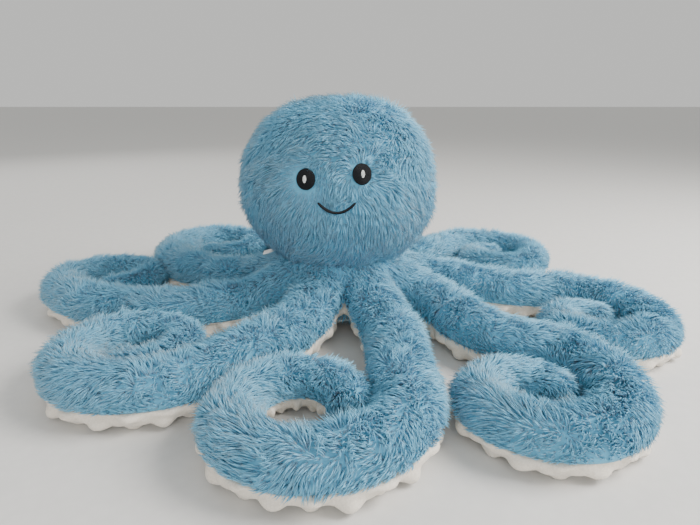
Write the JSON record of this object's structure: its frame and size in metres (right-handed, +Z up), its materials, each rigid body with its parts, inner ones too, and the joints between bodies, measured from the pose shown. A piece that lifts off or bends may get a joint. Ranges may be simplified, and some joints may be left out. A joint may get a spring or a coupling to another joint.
{
  "type": "plush octopus toy",
  "caption": "Stuffed octopus soft toy in blue long-pile plush with white dimpled undersides, a stitched smiling face and curled arms that lift from the body.",
  "frame": {"origin": "middle of the footprint of the toy lying at rest, on the surface it lies on", "axes": "+Z up, -Y towards the side the face looks to, +X to the right when facing the toy"},
  "size_m": [0.6018, 0.5842, 0.207],
  "materials": {
    "plush_blue": "long-pile plush, matte with a soft sheen",
    "minky_white": "short dimpled minky, matte",
    "filling": "loose polyester filling, matte",
    "thread_black": "satin embroidery thread",
    "thread_white": "satin embroidery thread",
    "thread_blue": "matte sewing thread",
    "label_tape": "satin woven tape"
  },
  "bodies": {
    "body": {"head_plush": "plush_blue", "head_stuffing": "filling", "neck_seam_thread": "thread_blue", "body_plush": "plush_blue", "base_minky": "minky_white", "body_stuffing": "filling", "eye_left": "thread_black", "eye_highlight_left": "thread_white", "eye_right": "thread_black", "eye_highlight_right": "thread_white", "smile": "thread_black", "side_label": "label_tape"},
    "front_right_upper": {"front_right_arm_upper_plush": "plush_blue", "front_right_arm_upper_minky": "minky_white", "front_right_arm_upper_stuffing": "filling"},
    "front_right_curl": {"front_right_arm_curl_plush": "plush_blue", "front_right_arm_curl_minky": "minky_white", "front_right_arm_curl_stuffing": "filling"},
    "right_front_upper": {"right_front_arm_upper_plush": "plush_blue", "right_front_arm_upper_minky": "minky_white", "right_front_arm_upper_stuffing": "filling"},
    "right_front_curl": {"right_front_arm_curl_plush": "plush_blue", "right_front_arm_curl_minky": "minky_white", "right_front_arm_curl_stuffing": "filling"},
    "right_upper": {"right_arm_upper_plush": "plush_blue", "right_arm_upper_minky": "minky_white", "right_arm_upper_stuffing": "filling"},
    "right_curl": {"right_arm_curl_plush": "plush_blue", "right_arm_curl_minky": "minky_white", "right_arm_curl_stuffing": "filling"},
    "back_right_upper": {"back_right_arm_upper_plush": "plush_blue", "back_right_arm_upper_minky": "minky_white", "back_right_arm_upper_stuffing": "filling"},
    "back_right_curl": {"back_right_arm_curl_plush": "plush_blue", "back_right_arm_curl_minky": "minky_white", "back_right_arm_curl_stuffing": "filling"},
    "back_upper": {"back_arm_upper_plush": "plush_blue", "back_arm_upper_minky": "minky_white", "back_arm_upper_stuffing": "filling"},
    "back_curl": {"back_arm_curl_plush": "plush_blue", "back_arm_curl_minky": "minky_white", "back_arm_curl_stuffing": "filling"},
    "left_back_upper": {"left_back_arm_upper_plush": "plush_blue", "left_back_arm_upper_minky": "minky_white", "left_back_arm_upper_stuffing": "filling"},
    "left_back_curl": {"left_back_arm_curl_plush": "plush_blue", "left_back_arm_curl_minky": "minky_white", "left_back_arm_curl_stuffing": "filling"},
    "left_upper": {"left_arm_upper_plush": "plush_blue", "left_arm_upper_minky": "minky_white", "left_arm_upper_stuffing": "filling"},
    "left_curl": {"left_arm_curl_plush": "plush_blue", "left_arm_curl_minky": "minky_white", "left_arm_curl_stuffing": "filling"},
    "front_left_upper": {"front_left_arm_upper_plush": "plush_blue", "front_left_arm_upper_minky": "minky_white", "front_left_arm_upper_stuffing": "filling"},
    "front_left_curl": {"front_left_arm_curl_plush": "plush_blue", "front_left_arm_curl_minky": "minky_white", "front_left_arm_curl_stuffing": "filling"}
  },
  "joints": [
    {"name": "front_right_root_lift", "type": "hinge", "parent": "body", "child": "front_right_upper", "pos_m": [0.03321, -0.05236, 0.0602], "axis": [-0.887, -0.4617, 0], "range_deg": [0, 30]},
    {"name": "front_right_fold_lift", "type": "hinge", "parent": "front_right_upper", "child": "front_right_curl", "pos_m": [0.05168, -0.10916, 0.042], "axis": [-0.989, -0.1482, 0], "range_deg": [0, 25]},
    {"name": "right_front_root_lift", "type": "hinge", "parent": "body", "child": "right_front_upper", "pos_m": [0.06121, -0.019, 0.0602], "axis": [-0.3007, -0.9537, 0], "range_deg": [0, 30]},
    {"name": "right_front_fold_lift", "type": "hinge", "parent": "right_front_upper", "child": "right_front_curl", "pos_m": [0.10542, -0.0571, 0.042], "axis": [-0.8988, -0.4384, 0], "range_deg": [0, 25]},
    {"name": "right_root_lift", "type": "hinge", "parent": "body", "child": "right_upper", "pos_m": [0.05741, 0.02438, 0.0602], "axis": [0.4617, -0.887, 0], "range_deg": [0, 30]},
    {"name": "right_fold_lift", "type": "hinge", "parent": "right_upper", "child": "right_curl", "pos_m": [0.11533, 0.02572, 0.042], "axis": [-0.4202, -0.9074, 0], "range_deg": [0, 25]},
    {"name": "back_right_root_lift", "type": "hinge", "parent": "body", "child": "back_right_upper", "pos_m": [0.02405, 0.05238, 0.0602], "axis": [0.9537, -0.3007, 0], "range_deg": [0, 30]},
    {"name": "back_right_fold_lift", "type": "hinge", "parent": "back_right_upper", "child": "back_right_curl", "pos_m": [0.05958, 0.09927, 0.042], "axis": [0.5476, -0.8368, 0], "range_deg": [0, 25]},
    {"name": "back_root_lift", "type": "hinge", "parent": "body", "child": "back_upper", "pos_m": [-0.01933, 0.04858, 0.0602], "axis": [0.887, 0.4617, 0], "range_deg": [0, 30]},
    {"name": "back_fold_lift", "type": "hinge", "parent": "back_upper", "child": "back_curl", "pos_m": [-0.04239, 0.1039, 0.042], "axis": [0.9524, 0.3049, 0], "range_deg": [0, 25]},
    {"name": "left_back_root_lift", "type": "hinge", "parent": "body", "child": "left_back_upper", "pos_m": [-0.04733, 0.01522, 0.0602], "axis": [0.3007, 0.9537, 0], "range_deg": [0, 30]},
    {"name": "left_back_fold_lift", "type": "hinge", "parent": "left_back_upper", "child": "left_back_curl", "pos_m": [-0.10462, 0.03304, 0.042], "axis": [0.2932, 0.956, 0], "range_deg": [0, 25]},
    {"name": "left_root_lift", "type": "hinge", "parent": "body", "child": "left_upper", "pos_m": [-0.04353, -0.02816, 0.0602], "axis": [-0.4617, 0.887, 0], "range_deg": [0, 30]},
    {"name": "left_fold_lift", "type": "hinge", "parent": "left_upper", "child": "left_curl", "pos_m": [-0.09847, -0.05217, 0.042], "axis": [-0.3371, 0.9415, 0], "range_deg": [0, 25]},
    {"name": "front_left_root_lift", "type": "hinge", "parent": "body", "child": "front_left_upper", "pos_m": [-0.01017, -0.05616, 0.0602], "axis": [-0.9537, 0.3007, 0], "range_deg": [0, 30]},
    {"name": "front_left_fold_lift", "type": "hinge", "parent": "front_left_upper", "child": "front_left_curl", "pos_m": [-0.03316, -0.11149, 0.042], "axis": [-0.886, 0.4637, 0], "range_deg": [0, 25]}
  ]
}
